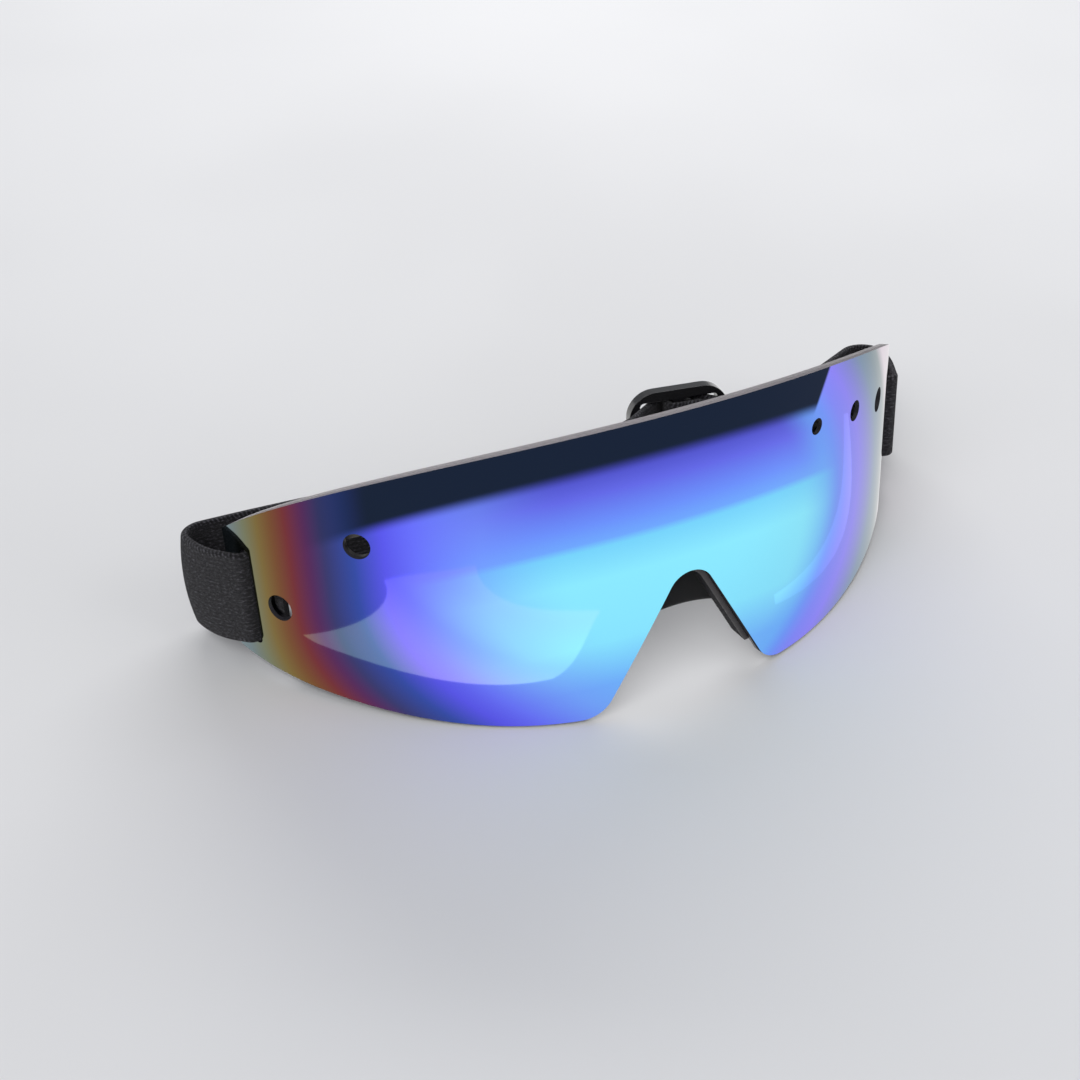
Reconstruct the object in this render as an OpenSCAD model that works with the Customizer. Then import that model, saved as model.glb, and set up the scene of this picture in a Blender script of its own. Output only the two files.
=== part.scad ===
// One piece wraparound goggles with a vented shield, foam pads and an adjustable elastic strap.
// Every piece is drawn in the lens frame: X across the face, Y towards the back of the head,
// Z up along the shield, with the middle of the brow edge at zero. stand() then leans the
// whole thing back until it rests on its two lobes and its two lens ends.

/* [Lens] */
// Radius of the shield across the front, on its outer face
front_radius = 91; // [84:1:98]
// How much smaller the shield's radius is at the temples
radius_drop = 46.4; // [43.5:0.29:49.3]
// Angle that each tighter end turns through
end_angle = 27; // [25:0.5:28]
// Thickness of the shield
lens_t = 1.8; // [1.2:0.1:2.6]
// Radius of the brow edge, seen from the side
brow_radius = 240; // [200:5:300]
// Slope of the brow edge at the middle, seen from the side
brow_slope = 21.3; // [18:0.1:24]
// Height of the shield from the brow to the bottom of a lobe
lobe_drop = 62; // [58:0.5:66]
// Radius of the lower edge of a lobe
lobe_radius = 135; // [120:1:150]
// Distance from the middle to the lowest place of a lobe
lobe_offset = 22; // [20:0.5:26]
// Radius where a lobe turns up into the nose notch
lobe_corner = 7; // [3:0.5:8]

/* [Nose notch] */
// Depth of the brow to the top of the notch
notch_drop = 33.6; // [31:0.2:36]
// Radius of the top of the notch
notch_radius = 5; // [4:0.5:7]
// Angle of a notch side from upright
notch_angle = 29.5; // [25:0.5:33]

/* [Vents] */
// Distance of the upper vents below the brow edge
vent_inset = 11.8; // [11.5:0.1:14]
// Arc distance from the middle to the first vent on the right
vent_first = 32.3; // [28:0.5:36]
// Arc distance between the vents on the right
vent_pitch = 15.4; // [12:0.2:17]
// Number of vents on the right
vent_count = 3; // [1:1:3]
// Diameter of the first and smallest vent
vent_d = 3.4; // [2.5:0.1:4]
// Growth in diameter from one vent to the next
vent_growth = 0.95; // [0:0.05:1]
// Arc distance from the middle to the upper vent on the left
left_vent_arc = 63; // [60:0.5:66]
// Arc distance from the middle to the lower vent on the left
low_vent_arc = 81.2; // [80:0.2:82.5]
// Depth of the lower vent below the middle of the brow
low_vent_drop = 37.5; // [34:0.5:40]
// Diameter of the lower vent
low_vent_d = 5.6; // [4:0.1:6]

/* [Strap] */
// Width of the elastic strap
strap_w = 20; // [18:0.5:21]
// Thickness of the elastic strap
strap_t = 1.4; // [1:0.1:1.6]
// Depth of the strap's middle line below the middle of the brow
strap_drop = 37.3; // [36:0.1:39]
// Gap between the strap and what it passes
strap_gap = 0.3; // [0.2:0.05:0.4]
// Width of the slot in the lens end
slot_w = 2.4; // [2.2:0.1:3]
// Lens material left between the slot and the end
slot_tab = 5; // [4:0.25:6]
// How far the strap's left fold stands out past the lens end
left_stand_off = 6.55; // [5.5:0.05:7.5]
// How far the strap's left fold reaches back behind the lens end
left_behind = 10.55; // [10:0.05:11.5]
// Middle line radius of the single fold on the left
left_fold = 3.8; // [3:0.1:4.2]
// How far the strap's right fold stands out past the lens end
right_stand_off = 7.85; // [7:0.05:8.5]
// How far the strap's right fold reaches back behind the lens end
right_behind = 11.75; // [11:0.05:12.5]
// Middle line radius of the outer fold on the right
right_fold = 4.5; // [4:0.1:4.8]
// Middle line radius of the inner fold on the right
inner_fold = 3; // [2.5:0.1:3.2]
// Angle at which the strap's right run leaves its fold
right_run_turn = 26; // [22:1:28]
// Length of the straight start of the strap's right run
right_run_start = 9.5; // [9:0.25:12]
// How far the strap stands straight out of the right slot
right_exit = 2; // [1.2:0.1:2.4]
// Middle line radius of the strap's bend outside the right slot
exit_bend = 1.5; // [1.2:0.1:1.8]
// Length of the strap that the lens end holds outside the left slot
held_l = 3; // [2:0.25:4]
// Length of the hem inside the left slot
hem_l = 6; // [4:0.5:7]

/* [Slider] */
// Length of the slider along the strap
slider_l = 23; // [22:0.5:26]
// Thickness of the slider
slider_t = 2.6; // [2:0.1:3]
// Width of each upright bar
bar_w = 2.5; // [2:0.1:3]
// Height of the top and bottom rails
rail_h = 2.2; // [2:0.1:4]
// Gap between the strap's edges and the rails
rail_gap = 0.5; // [0.3:0.1:1]
// Corner radius of the slider
slider_corner = 6; // [3:0.5:7]
// Place of the slider along the strap, from the middle
slider_x = 30; // [26:0.5:32]
// How far the slider hangs behind the lens ends
slider_behind = 9; // [8:0.25:11]
// Angle at which the slider hangs to the shield
slider_turn = 12; // [6:1:14]
// Gap between two layers of strap that lie on each other
layer_gap = 0.1; // [0.1:0.05:0.4]
// Length of strap that goes with the slider past its right end
weave_lead = 2; // [1:0.25:3]
// Depth in front of the slider's middle at which the left run meets it
weave_start = 5; // [4:0.25:6]
// Middle line radius of the strap's bends in the slider
weave_bend = 1.3; // [1:0.05:1.4]

/* [Pads] */
// Thickness of the adhesive tape under a pad
tape_t = 0.3; // [0.2:0.05:0.6]
// Thickness of the foam
foam_t = 4; // [3:0.25:6]
// Thickness of the knitted facing on the foam
facing_t = 0.6; // [0.4:0.1:1]
// Distance of the brow pad below the brow edge
brow_pad_inset = 4; // [3:0.25:4.5]
// Height of the brow pad
brow_pad_h = 4.8; // [3:0.1:4.9]
// Distance of the cheek pads above the lower edge
cheek_pad_inset = 2; // [1.5:0.25:4]
// Height of the cheek pads
cheek_pad_h = 7; // [4:0.5:8]
// Place where the cheek pads start, from the middle
cheek_pad_start = 26; // [25:0.5:30]
// Gap between the hem and the ends of the brow and cheek pads
pad_end_gap = 1.2; // [0.5:0.1:4]
// How far the nose pads reach past the notch edge
nose_pad_reach = 1.2; // [0.4:0.1:1.5]
// Width of the nose pads
nose_pad_w = 6; // [4:0.5:7]
// Depth below the brow where the nose pads end
nose_pad_low = 56; // [52:0.5:57]
// Thickness of the bridge pad
bridge_t = 3; // [2:0.25:5]
// Width of the bridge pad
bridge_w = 28; // [24:0.5:30]
// Distance from the top of the notch down to the bridge pad's lower edge
bridge_hang = 12; // [8:0.5:14]
// Radius of the arch in the bridge pad's lower edge
bridge_arch = 28; // [22:1:60]
// Distance from the top of the notch up to the bridge pad's upper edge
bridge_rise = 5; // [3:0.25:6]

/* [Stitches] */
// Thickness of the sewing thread
thread_t = 0.4; // [0.3:0.05:0.6]
// Height of one stitch
stitch_h = 2; // [1:0.25:3]
// Distance from one stitch to the next
stitch_pitch = 3; // [2.5:0.25:5]
// Distance from one row of stitches to the next
stitch_rows = 0.9; // [0.7:0.1:1.2]

/* [Hidden] */
$fn = 96;

left = -1;
right = 1;
// Larger than anything in the part, for cutting
far = 400;

// Centre of the front curve, and of the right temple curve, in plan. The two curves meet at
// the angle of a 20, 21, 29 triangle, so that both centres have short exact coordinates
front_centre = [0, front_radius];
end_centre = [radius_drop * 21 / 29, front_radius - radius_drop * 20 / 29];
end_radius = front_radius - radius_drop;
front_half_angle = atan2(21, 20);
full_angle = front_half_angle + end_angle;
front_arc = front_radius * front_half_angle * PI / 180;

// Plan angle of a place on the outer face, from its arc distance
function arc_angle(s) = s <= front_arc ? s / front_radius * 180 / PI
  : front_half_angle + (s - front_arc) / end_radius * 180 / PI;
// Plan point at an angle, a given depth inside the outer face
function plan_point(a, depth) = a <= front_half_angle
  ? front_centre + (front_radius - depth) * [sin(a), -cos(a)]
  : end_centre + (end_radius - depth) * [sin(a), -cos(a)];
// Height of the brow edge, and of the lobe's lower edge
function brow_z(y) = sqrt(pow(brow_radius, 2) - pow(y + brow_radius * sin(brow_slope), 2))
  - brow_radius * cos(brow_slope);
lobe_centre = [lobe_offset, lobe_radius - lobe_drop];
function lobe_z(x) = lobe_centre[1] - sqrt(pow(lobe_radius, 2) - pow(x - lobe_offset, 2));

// The strap leaves the slot, folds and runs across the back
function unit(a) = [cos(a), sin(a)];
lens_end = plan_point(full_angle, 0);
left_reach = lens_end[0] + left_stand_off;
right_reach = lens_end[0] + right_stand_off;
slot_angle = full_angle - (slot_tab + slot_w / 2) / end_radius * 180 / PI;
outside = -(strap_gap + strap_t / 2);
inside = lens_t + strap_gap + strap_t / 2;
strap_z = -strap_drop;
slot_out = plan_point(slot_angle, outside);

// Plan place of a point that is named along the slider and behind its middle
slider_y = lens_end[1] + slider_behind;
function on_slider(u, v) = [slider_x, slider_y] + u * unit(-slider_turn) + v * unit(90 - slider_turn);

// Levels of the strap's layers at the slider, from its middle
layer = strap_t + layer_gap;
beside_bar = slider_t / 2 + strap_gap + strap_t / 2;
weave_rear = beside_bar + layer;
weave_l = slider_l / 2 + weave_lead;
slider_h = strap_w + 2 * (rail_h + rail_gap);
bar_pitch = slider_l / 2 - bar_w / 2;

// Folds, with the way the strap heads where it leaves the slots and where it meets the folds
left_centre = [left_reach - strap_t / 2 - left_fold, lens_end[1] + left_behind - left_fold];
right_centre = [right_reach - strap_t / 2 - right_fold, lens_end[1] + right_behind - right_fold];
left_heading = 46;
right_heading = 62;
fold_heading = 79;
left_held = slot_out + held_l * unit(left_heading);
exit_centre = plan_point(slot_angle, -right_exit) + exit_bend * unit(slot_angle);
right_held = exit_centre + exit_bend * unit(right_heading - 90);

// The strap's right run: straight off the fold, then curving to the slider
right_run = right_centre + right_fold * unit(90 + right_run_turn)
  + right_run_start * unit(180 + right_run_turn);

// The inner layer on the right leaves the lens a little before the lens end, and its fold is
// placed so that it comes out one layer in front of the outer layer
inner_angle = full_angle - 2;
inner_start = plan_point(inner_angle, inside);
run_normal = unit(90 + right_run_turn);
inner_leg = ((right_run - inner_start - inner_fold * unit(inner_angle + 90)) * run_normal
  - layer - inner_fold) / (unit(inner_angle) * run_normal);
inner_top = inner_start + inner_leg * unit(inner_angle);
inner_centre = inner_top + inner_fold * unit(inner_angle + 90);

// Points along an arc, and a route round it whose first and last steps run along its tangents
function arc_pts(c, r, a0, a1, n) = [for (i = [0:n]) c + r * unit(a0 + (a1 - a0) * i / n)];
function bend_pts(c, r, a0, a1, n) = let (step = (a1 - a0) / n)
  concat([c + r * unit(a0)],
    [for (i = [0:n - 1]) c + r / cos(step / 2) * unit(a0 + step * (i + 0.5))],
    [c + r * unit(a1)]);

// A smooth route between two places and headings, drawn a distance to the left of itself
function swept_pts(p0, a0, h0, p1, a1, h1, off) = let (
    n = 16, lead = 0.4,
    q0 = p0 + lead * unit(a0), q3 = p1 - lead * unit(a1),
    q1 = q0 + h0 * unit(a0), q2 = q3 - h1 * unit(a1))
  concat([p0 + off * unit(a0 + 90)],
    [for (i = [0:n]) let (
        t = i / n, k = 1 - t,
        d = k * k * (q1 - q0) + 2 * k * t * (q2 - q1) + t * t * (q3 - q2))
      k * k * k * q0 + 3 * k * k * t * q1 + 3 * k * t * t * q2 + t * t * t * q3
        + off * unit(atan2(d[1], d[0]) + 90)],
    [p1 + off * unit(a1 + 90)]);

// The lean at rest: the line from the slider's foot that leaves every place of a lobe above it
slider_foot = [on_slider(slider_corner - slider_l / 2, slider_t / 2)[1], strap_z - slider_h / 2];
lobe_slopes = [for (a = [10:1:40]) let (p = plan_point(a, lens_t))
  (slider_foot[1] - lobe_z(p[0])) / (slider_foot[0] - p[1])];
rest_lean = atan(max(lobe_slopes));
rest_height = slider_foot[0] * sin(rest_lean) - slider_foot[1] * cos(rest_lean);

// Front and back of the whole part once it leans, to centre it over the floor
weave_back = on_slider(-bar_w, weave_rear + strap_t / 2)[1];
front_foot = min([for (a = [0:2:40]) let (p = plan_point(a, 0))
  p[1] * cos(rest_lean) + lobe_z(p[0]) * sin(rest_lean)]);
rear_foot = weave_back * cos(rest_lean) + (strap_z + strap_w / 2) * sin(rest_lean);
plan_middle = (front_foot + rear_foot) / 2;
side_middle = (right_reach - left_reach) / 2;

// Leans a piece back and puts it on the floor
module stand() {
  translate([-side_middle, -plan_middle, rest_height]) rotate([-rest_lean, 0, 0]) children();
}

// Everything past an angle about the temple curve's centre, on one side
module past(side, angle) {
  scale([side, 1, 1]) translate([end_centre[0], end_centre[1], 0]) rotate([0, 0, angle])
    translate([0, -far / 2, -far / 2]) cube(far);
}

// A full ring about a centre, between two depths inside the lens face
module ring(c, r, depth0, depth1) {
  translate([c[0], c[1], -far / 4]) difference() {
    cylinder(r = r - depth0, h = far / 2);
    translate([0, 0, -1]) cylinder(r = r - depth1, h = far / 2 + 2);
  }
}

// A curved wall between two depths, across the front and out to an angle on each side
module wall(depth0, depth1, a_end) {
  difference() {
    ring(front_centre, front_radius, depth0, depth1);
    past(left, front_half_angle);
    past(right, front_half_angle);
  }
  if (a_end > front_half_angle)
    for (side = [left, right]) difference() {
      intersection() {
        ring([side * end_centre[0], end_centre[1]], end_radius, depth0, depth1);
        past(side, front_half_angle);
      }
      past(side, a_end);
    }
}

// Everything below the brow edge, or below a line that lies under it
module below_brow(inset) {
  translate([0, -brow_radius * sin(brow_slope), -brow_radius * cos(brow_slope)])
    rotate([0, 90, 0]) cylinder(r = brow_radius - inset, h = far, center = true, $fn = 180);
}

// A front view drawing pushed through the lens from front to back
module through() {
  translate([0, far / 2, 0]) rotate([90, 0, 0]) linear_extrude(far) children();
}

// Right half of the lens's lower outline, from the top of the notch to the end
notch_top = [0, -notch_drop - notch_radius];
side_out = unit(notch_angle);
side_down = [sin(notch_angle), -cos(notch_angle)];
corner_from = notch_top + (notch_radius + lobe_corner) * side_out - lobe_centre;
corner_run = -corner_from * side_down + sqrt(pow(corner_from * side_down, 2)
  - corner_from * corner_from + pow(lobe_radius - lobe_corner, 2));
corner_centre = lobe_centre + corner_from + corner_run * side_down;
corner_turn = atan2(corner_centre[1] - lobe_centre[1], corner_centre[0] - lobe_centre[0]) + 360;
outline_end = lens_end[0] + slot_tab;
lobe_end_turn = 360 - acos((outline_end - lobe_offset) / lobe_radius);
half_outline = concat(arc_pts(notch_top, notch_radius, 90, notch_angle, 10),
  arc_pts(corner_centre, lobe_corner, 180 + notch_angle, corner_turn, 8),
  arc_pts(lobe_centre, lobe_radius, corner_turn + 0.4, lobe_end_turn, 24));

module front_outline() {
  last = len(half_outline) - 1;
  other_half = [for (i = [last:-1:1]) [-half_outline[i][0], half_outline[i][1]]];
  polygon(concat(other_half, half_outline,
    [[outline_end, far / 8], [-outline_end, far / 8]]));
}

// A line beside the notch, from its middle down to the end of the nose pads
function notch_line(grow) = let (
    r = notch_radius + grow,
    touch = notch_top + r * side_out,
    run = (touch[1] + nose_pad_low) / cos(notch_angle))
  concat(arc_pts(notch_top, r, 90, notch_angle, 10), [touch + run * side_down]);
function backwards(pts) = [for (i = [len(pts) - 1:-1:0]) pts[i]];

// Puts children on the outer face, facing out along the lens's own normal
module on_face(angle, z) {
  p = plan_point(abs(angle), 0);
  translate([angle < 0 ? -p[0] : p[0], p[1], z]) rotate([0, 0, angle]) children();
}

module vent(side, s, z, d) {
  on_face(side * arc_angle(s), z) rotate([90, 0, 0]) cylinder(d = d, h = 6 * lens_t, center = true);
}

// Height of an upper vent at an arc distance
function vent_z(s) = brow_z(plan_point(arc_angle(s), 0)[1]) - vent_inset;

// A slot with round ends, long enough for the flat strap's corners to clear them
module slot(side) {
  r = slot_w / 2;
  middle = strap_w / 2 + strap_gap - sqrt(pow(r, 2) - pow(strap_t / 2, 2));
  on_face(side * slot_angle, strap_z) rotate([90, 0, 0]) translate([0, 0, -3 * lens_t])
    linear_extrude(6 * lens_t) polygon(concat(arc_pts([0, middle], r, 0, 180, 12),
      arc_pts([0, -middle], r, 180, 360, 12)));
}

module lens() {
  color([0.36, 0.62, 0.95]) stand() difference() {
    intersection() {
      wall(0, lens_t, full_angle);
      below_brow(0);
      through() front_outline();
    }
    for (i = [0:vent_count - 1]) {
      s = vent_first + i * vent_pitch;
      vent(right, s, vent_z(s), vent_d + i * vent_growth);
    }
    vent(left, left_vent_arc, vent_z(left_vent_arc), vent_d + 2 * vent_growth);
    vent(left, low_vent_arc, -low_vent_drop, low_vent_d);
    slot(left);
    slot(right);
  }
}

// The hem lies along the inner face, and the pads end short of it
hem_angle = slot_angle - hem_l / (end_radius - inside) * 180 / PI;
pad_end_angle = hem_angle - pad_end_gap / end_radius * 180 / PI;

// A pad has three layers behind the lens: tape, foam and facing
tape_depth = lens_t;
foam_depth = tape_depth + tape_t;
facing_depth = foam_depth + foam_t;
pad_depth = facing_depth + facing_t;

module brow_layer(depth0, depth1) {
  stand() intersection() {
    wall(depth0, depth1, pad_end_angle);
    difference() {
      below_brow(brow_pad_inset);
      below_brow(brow_pad_inset + brow_pad_h);
    }
  }
}

module cheek_layer(side, depth0, depth1) {
  stand() intersection() {
    wall(depth0, depth1, pad_end_angle);
    through() scale([side, 1]) intersection() {
      difference() {
        translate(lobe_centre) circle(lobe_radius - cheek_pad_inset, $fn = 180);
        translate(lobe_centre) circle(lobe_radius - cheek_pad_inset - cheek_pad_h, $fn = 180);
      }
      translate([cheek_pad_start, -1.5 * lobe_drop]) square([far / 4, 1.5 * lobe_drop]);
    }
  }
}

module nose_layer(side, depth0, depth1) {
  stand() intersection() {
    wall(depth0, depth1, front_half_angle);
    through() scale([side, 1]) polygon(concat(notch_line(nose_pad_w - nose_pad_reach),
      backwards(notch_line(-nose_pad_reach))));
  }
}

foam_colour = [0.16, 0.16, 0.17];
facing_colour = [0.08, 0.08, 0.09];
tape_colour = [0.55, 0.55, 0.52];

module brow_tape() { color(tape_colour) brow_layer(tape_depth, foam_depth); }
module left_cheek_tape() { color(tape_colour) cheek_layer(left, tape_depth, foam_depth); }
module right_cheek_tape() { color(tape_colour) cheek_layer(right, tape_depth, foam_depth); }
module left_nose_tape() { color(tape_colour) nose_layer(left, tape_depth, foam_depth); }
module right_nose_tape() { color(tape_colour) nose_layer(right, tape_depth, foam_depth); }

module brow_pad() { color(foam_colour) brow_layer(foam_depth, facing_depth); }
module left_cheek_pad() { color(foam_colour) cheek_layer(left, foam_depth, facing_depth); }
module right_cheek_pad() { color(foam_colour) cheek_layer(right, foam_depth, facing_depth); }
module left_nose_pad() { color(foam_colour) nose_layer(left, foam_depth, facing_depth); }
module right_nose_pad() { color(foam_colour) nose_layer(right, foam_depth, facing_depth); }

module brow_facing() { color(facing_colour) brow_layer(facing_depth, pad_depth); }
module left_cheek_facing() { color(facing_colour) cheek_layer(left, facing_depth, pad_depth); }
module right_cheek_facing() { color(facing_colour) cheek_layer(right, facing_depth, pad_depth); }
module left_nose_facing() { color(facing_colour) nose_layer(left, facing_depth, pad_depth); }
module right_nose_facing() { color(facing_colour) nose_layer(right, facing_depth, pad_depth); }

// The bridge pad is glued across the backs of the nose pads, and shows through the notch
module bridge_pad() {
  low = -notch_drop - bridge_hang;
  arch_turn = acos(bridge_w / (2 * bridge_arch));
  color(facing_colour) stand() intersection() {
    wall(pad_depth, pad_depth + bridge_t, front_half_angle);
    through() polygon(concat(
      [[bridge_w / 2, bridge_rise - notch_drop], [-bridge_w / 2, bridge_rise - notch_drop]],
      arc_pts([0, low - bridge_arch], bridge_arch, 180 - arch_turn, arch_turn, 12)));
  }
}

// A flat ribbon of strap along a plan route, standing on its edge
function heading(p, q) = atan2(q[1] - p[1], q[0] - p[0]);
function side_point(pts, i, off) = let (
    last = len(pts) - 1,
    a0 = i == 0 ? heading(pts[0], pts[1]) : heading(pts[i - 1], pts[i]),
    a1 = i == last ? a0 : heading(pts[i], pts[i + 1]),
    turn = ((a1 - a0 + 540) % 360) - 180,
    a = a0 + turn / 2 + 90)
  pts[i] + off / cos(turn / 2) * unit(a);
module ribbon(side, pts) {
  places = [0:len(pts) - 1];
  front = [for (i = places) side_point(pts, i, strap_t / 2)];
  back = [for (i = places) side_point(pts, i, -strap_t / 2)];
  stand() scale([side, 1, 1]) translate([0, 0, strap_z - strap_w / 2])
    linear_extrude(strap_w) polygon(concat(front, backwards(back)));
}

strap_colour = [0.2, 0.2, 0.22];
function inner_route(a1, n) =
  bend_pts(end_centre, end_radius - inside, slot_angle - 90, a1 - 90, n);

// The strap's left end: it passes in through the slot and is hemmed so that it can't pull out
module left_strap_end() {
  color(strap_colour) ribbon(left, concat([left_held, slot_out], inner_route(hem_angle, 6)));
}

// Two rows of stitches that close the hem, on its inner face
module left_hem_stitches() {
  count = floor((strap_w - stitch_h) / stitch_pitch);
  color("dimgray") stand() scale([left, 1, 1])
    for (row = [1, 3]) let (a = hem_angle + row * stitch_rows / end_radius * 180 / PI)
      for (i = [0:count]) translate(concat(plan_point(a, inside + strap_t / 2), 0)) rotate([0, 0, a])
        translate([-thread_t / 2, 0, strap_z + (i - count / 2) * stitch_pitch - stitch_h / 2])
          cube([thread_t, thread_t, stitch_h]);
}

// The strap's right end turns through the slot and comes back inside the lens
module right_strap_turn() {
  color(strap_colour) ribbon(right, concat(
    bend_pts(exit_centre, exit_bend, right_heading + 270, slot_angle + 180, 6),
    inner_route(inner_angle, 4)));
}

// Where the strap's legs meet the folds
function touch(c, r) = c + r * unit(fold_heading - 90);

// The strap's legs between the lens ends and the folds
module left_side_web() {
  color(strap_colour) ribbon(left, swept_pts(left_held, left_heading, left_fold,
    touch(left_centre, left_fold), fold_heading, left_fold, 0));
}
module right_side_web() {
  color(strap_colour) ribbon(right, swept_pts(right_held, right_heading, right_fold,
    touch(right_centre, right_fold), fold_heading, right_fold, 0));
}
module right_inner_web() {
  color(strap_colour) ribbon(right, [inner_start, inner_top]);
}

// The strap's folds and its runs across the back, which sag towards the shield
sag = 14;
left_run_turn = 3;
left_run_start = 2;
weave_angle = 45;
bar_edge = bar_pitch - bar_w / 2;
weave_pass = (bar_edge + bar_w / 2) / 2 + (strap_gap + strap_t) / (2 * sin(weave_angle));
weave_in = [-weave_pass - weave_start / tan(weave_angle), -weave_start];
module left_back_web() {
  meet = on_slider(weave_in[0], weave_in[1]);
  color(strap_colour) ribbon(left, concat(
    bend_pts(left_centre, left_fold, fold_heading - 90, 90 + left_run_turn, 12),
    swept_pts(left_centre + left_fold * unit(90 + left_run_turn) + left_run_start
      * unit(180 + left_run_turn), 180 + left_run_turn, 2.5 * sag,
      [-meet[0], meet[1]], 180 + slider_turn - weave_angle, sag, 0)));
}
function right_sweep(off) = swept_pts(right_run, 180 + right_run_turn, sag,
  on_slider(weave_l, -beside_bar), 180 - slider_turn, sag, off);
module right_back_web() {
  color(strap_colour) ribbon(right, concat(
    bend_pts(right_centre, right_fold, fold_heading - 90, 90 + right_run_turn, 12),
    right_sweep(0)));
}
module return_web() {
  color(strap_colour) ribbon(right, concat(
    bend_pts(inner_centre, inner_fold, inner_angle - 90, 90 + right_run_turn, 12),
    right_sweep(layer)));
}

// Flat three bar slider that the strap is woven through
module slider() {
  open_w = bar_pitch - bar_w;
  open_h = strap_w + 2 * rail_gap;
  color([0.07, 0.07, 0.08]) stand() translate([slider_x, slider_y, strap_z])
    rotate([90, 0, -slider_turn]) translate([0, 0, -slider_t / 2]) difference() {
      linear_extrude(slider_t) {
        square([slider_l, slider_h - 2 * slider_corner], center = true);
        square([slider_l - 2 * slider_corner, slider_h], center = true);
        for (x = [-1, 1], z = [-1, 1])
          translate([x * (slider_l / 2 - slider_corner), z * (slider_h / 2 - slider_corner)])
            circle(slider_corner);
      }
      for (x = [-1, 1]) translate([x * bar_pitch / 2 - open_w / 2, -open_h / 2, -1])
        cube([open_w, open_h, slider_t + 2]);
    }
}

// A strap route that is drawn in the slider's own plan
function along_slider(pts) = [for (p = pts) on_slider(p[0], p[1])];

// The running strap: in through the left opening, behind the middle bar, and out in front of
// the right bar
flat = weave_pass - weave_rear / tan(weave_angle) - weave_bend * tan(weave_angle / 2);
dip = weave_pass + beside_bar / tan(weave_angle) + weave_bend * tan(weave_angle / 2);
module slider_weave() {
  color(strap_colour) ribbon(right, along_slider(concat(
    [weave_in],
    bend_pts([-flat, weave_rear - weave_bend], weave_bend, 90 + weave_angle, 90, 5),
    bend_pts([flat, weave_rear - weave_bend], weave_bend, 90, 90 - weave_angle, 5),
    bend_pts([dip, weave_bend - beside_bar], weave_bend, 270 - weave_angle, 270, 5),
    [[weave_l, -beside_bar]])));
}

// The returning end is sewn in a loop round the middle bar
loop_r = strap_gap + strap_t / 2;
half_bar = bar_w / 2;
module slider_loop() {
  color(strap_colour) ribbon(right, along_slider(concat(
    [[weave_l, -beside_bar - layer], [bar_edge - layer_gap, -beside_bar - layer],
      [half_bar + 2 * strap_t, -beside_bar]],
    arc_pts([-half_bar, -slider_t / 2], loop_r, 270, 180, 5),
    arc_pts([-half_bar, slider_t / 2], loop_r, 180, 90, 5),
    arc_pts([half_bar, slider_t / 2], loop_r, 90, 0, 5),
    [[half_bar + loop_r, -slider_t / 2]])));
}

// Stitches that close the loop, in front of its tail
module slider_stitches() {
  count = floor((strap_w - stitch_h) / stitch_pitch);
  color("dimgray") stand() translate([slider_x, slider_y, strap_z]) rotate([0, 0, -slider_turn])
    for (row = [0, 1], i = [0:count])
      translate([half_bar + loop_r + (row - 1) * stitch_rows,
        -beside_bar - strap_t / 2 - thread_t, (i - count / 2) * stitch_pitch - stitch_h / 2])
        cube([thread_t, thread_t, stitch_h]);
}

lens();
brow_tape();
left_cheek_tape();
right_cheek_tape();
left_nose_tape();
right_nose_tape();
brow_pad();
left_cheek_pad();
right_cheek_pad();
left_nose_pad();
right_nose_pad();
brow_facing();
left_cheek_facing();
right_cheek_facing();
left_nose_facing();
right_nose_facing();
bridge_pad();
left_strap_end();
left_hem_stitches();
right_strap_turn();
left_side_web();
right_side_web();
right_inner_web();
left_back_web();
right_back_web();
return_web();
slider();
slider_weave();
slider_loop();
slider_stitches();
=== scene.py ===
# %% [markdown]
# Wraparound goggles: a mirrored shield, foam pads and a woven elastic strap
#
# This notebook dresses a plain CAD model of a pair of sports goggles. The model's frame gives
# every solid at its true size and says which pieces move together. Here each visible piece is
# remade with the edges, weaves and coatings that make it look real, and all but the strap's
# temple legs and back runs are tied to the body that carries them. All lengths in the helpers
# are millimetres, because that is how such parts are drawn, and they turn into metres in one
# place only.

# %% Load the frame
import math
from math import asin, atan2, cos, pi, radians, sin, sqrt, tan
import bpy
import bmesh
import numpy as np
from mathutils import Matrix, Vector


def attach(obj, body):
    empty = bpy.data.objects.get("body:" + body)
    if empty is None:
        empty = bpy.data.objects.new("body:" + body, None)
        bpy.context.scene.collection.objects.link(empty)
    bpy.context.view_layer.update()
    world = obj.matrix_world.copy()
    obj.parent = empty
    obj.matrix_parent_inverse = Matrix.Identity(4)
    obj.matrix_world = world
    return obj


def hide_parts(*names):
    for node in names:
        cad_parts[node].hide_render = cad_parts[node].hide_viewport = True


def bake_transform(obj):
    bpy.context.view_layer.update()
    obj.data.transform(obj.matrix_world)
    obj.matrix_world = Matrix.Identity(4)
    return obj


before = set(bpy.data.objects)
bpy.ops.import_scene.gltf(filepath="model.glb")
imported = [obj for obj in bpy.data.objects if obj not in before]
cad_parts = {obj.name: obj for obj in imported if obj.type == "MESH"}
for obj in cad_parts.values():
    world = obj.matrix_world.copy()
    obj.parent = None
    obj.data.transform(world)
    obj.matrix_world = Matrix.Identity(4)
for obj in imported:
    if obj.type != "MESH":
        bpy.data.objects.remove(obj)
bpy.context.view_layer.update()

# %% [markdown]
# The camera comes first, because every later choice is judged through it. It stands in front
# of the goggles, to the viewer's left and above them, at the distance at which the near end of
# the shield looks clearly larger than the far end. The place, the turn and the lens were
# worked out by fitting the shield's outline, so they stay as plain numbers.

# %% Camera
def add_object(name, data):
    made = bpy.data.objects.new(name, data)
    bpy.context.collection.objects.link(made)
    return made


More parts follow.
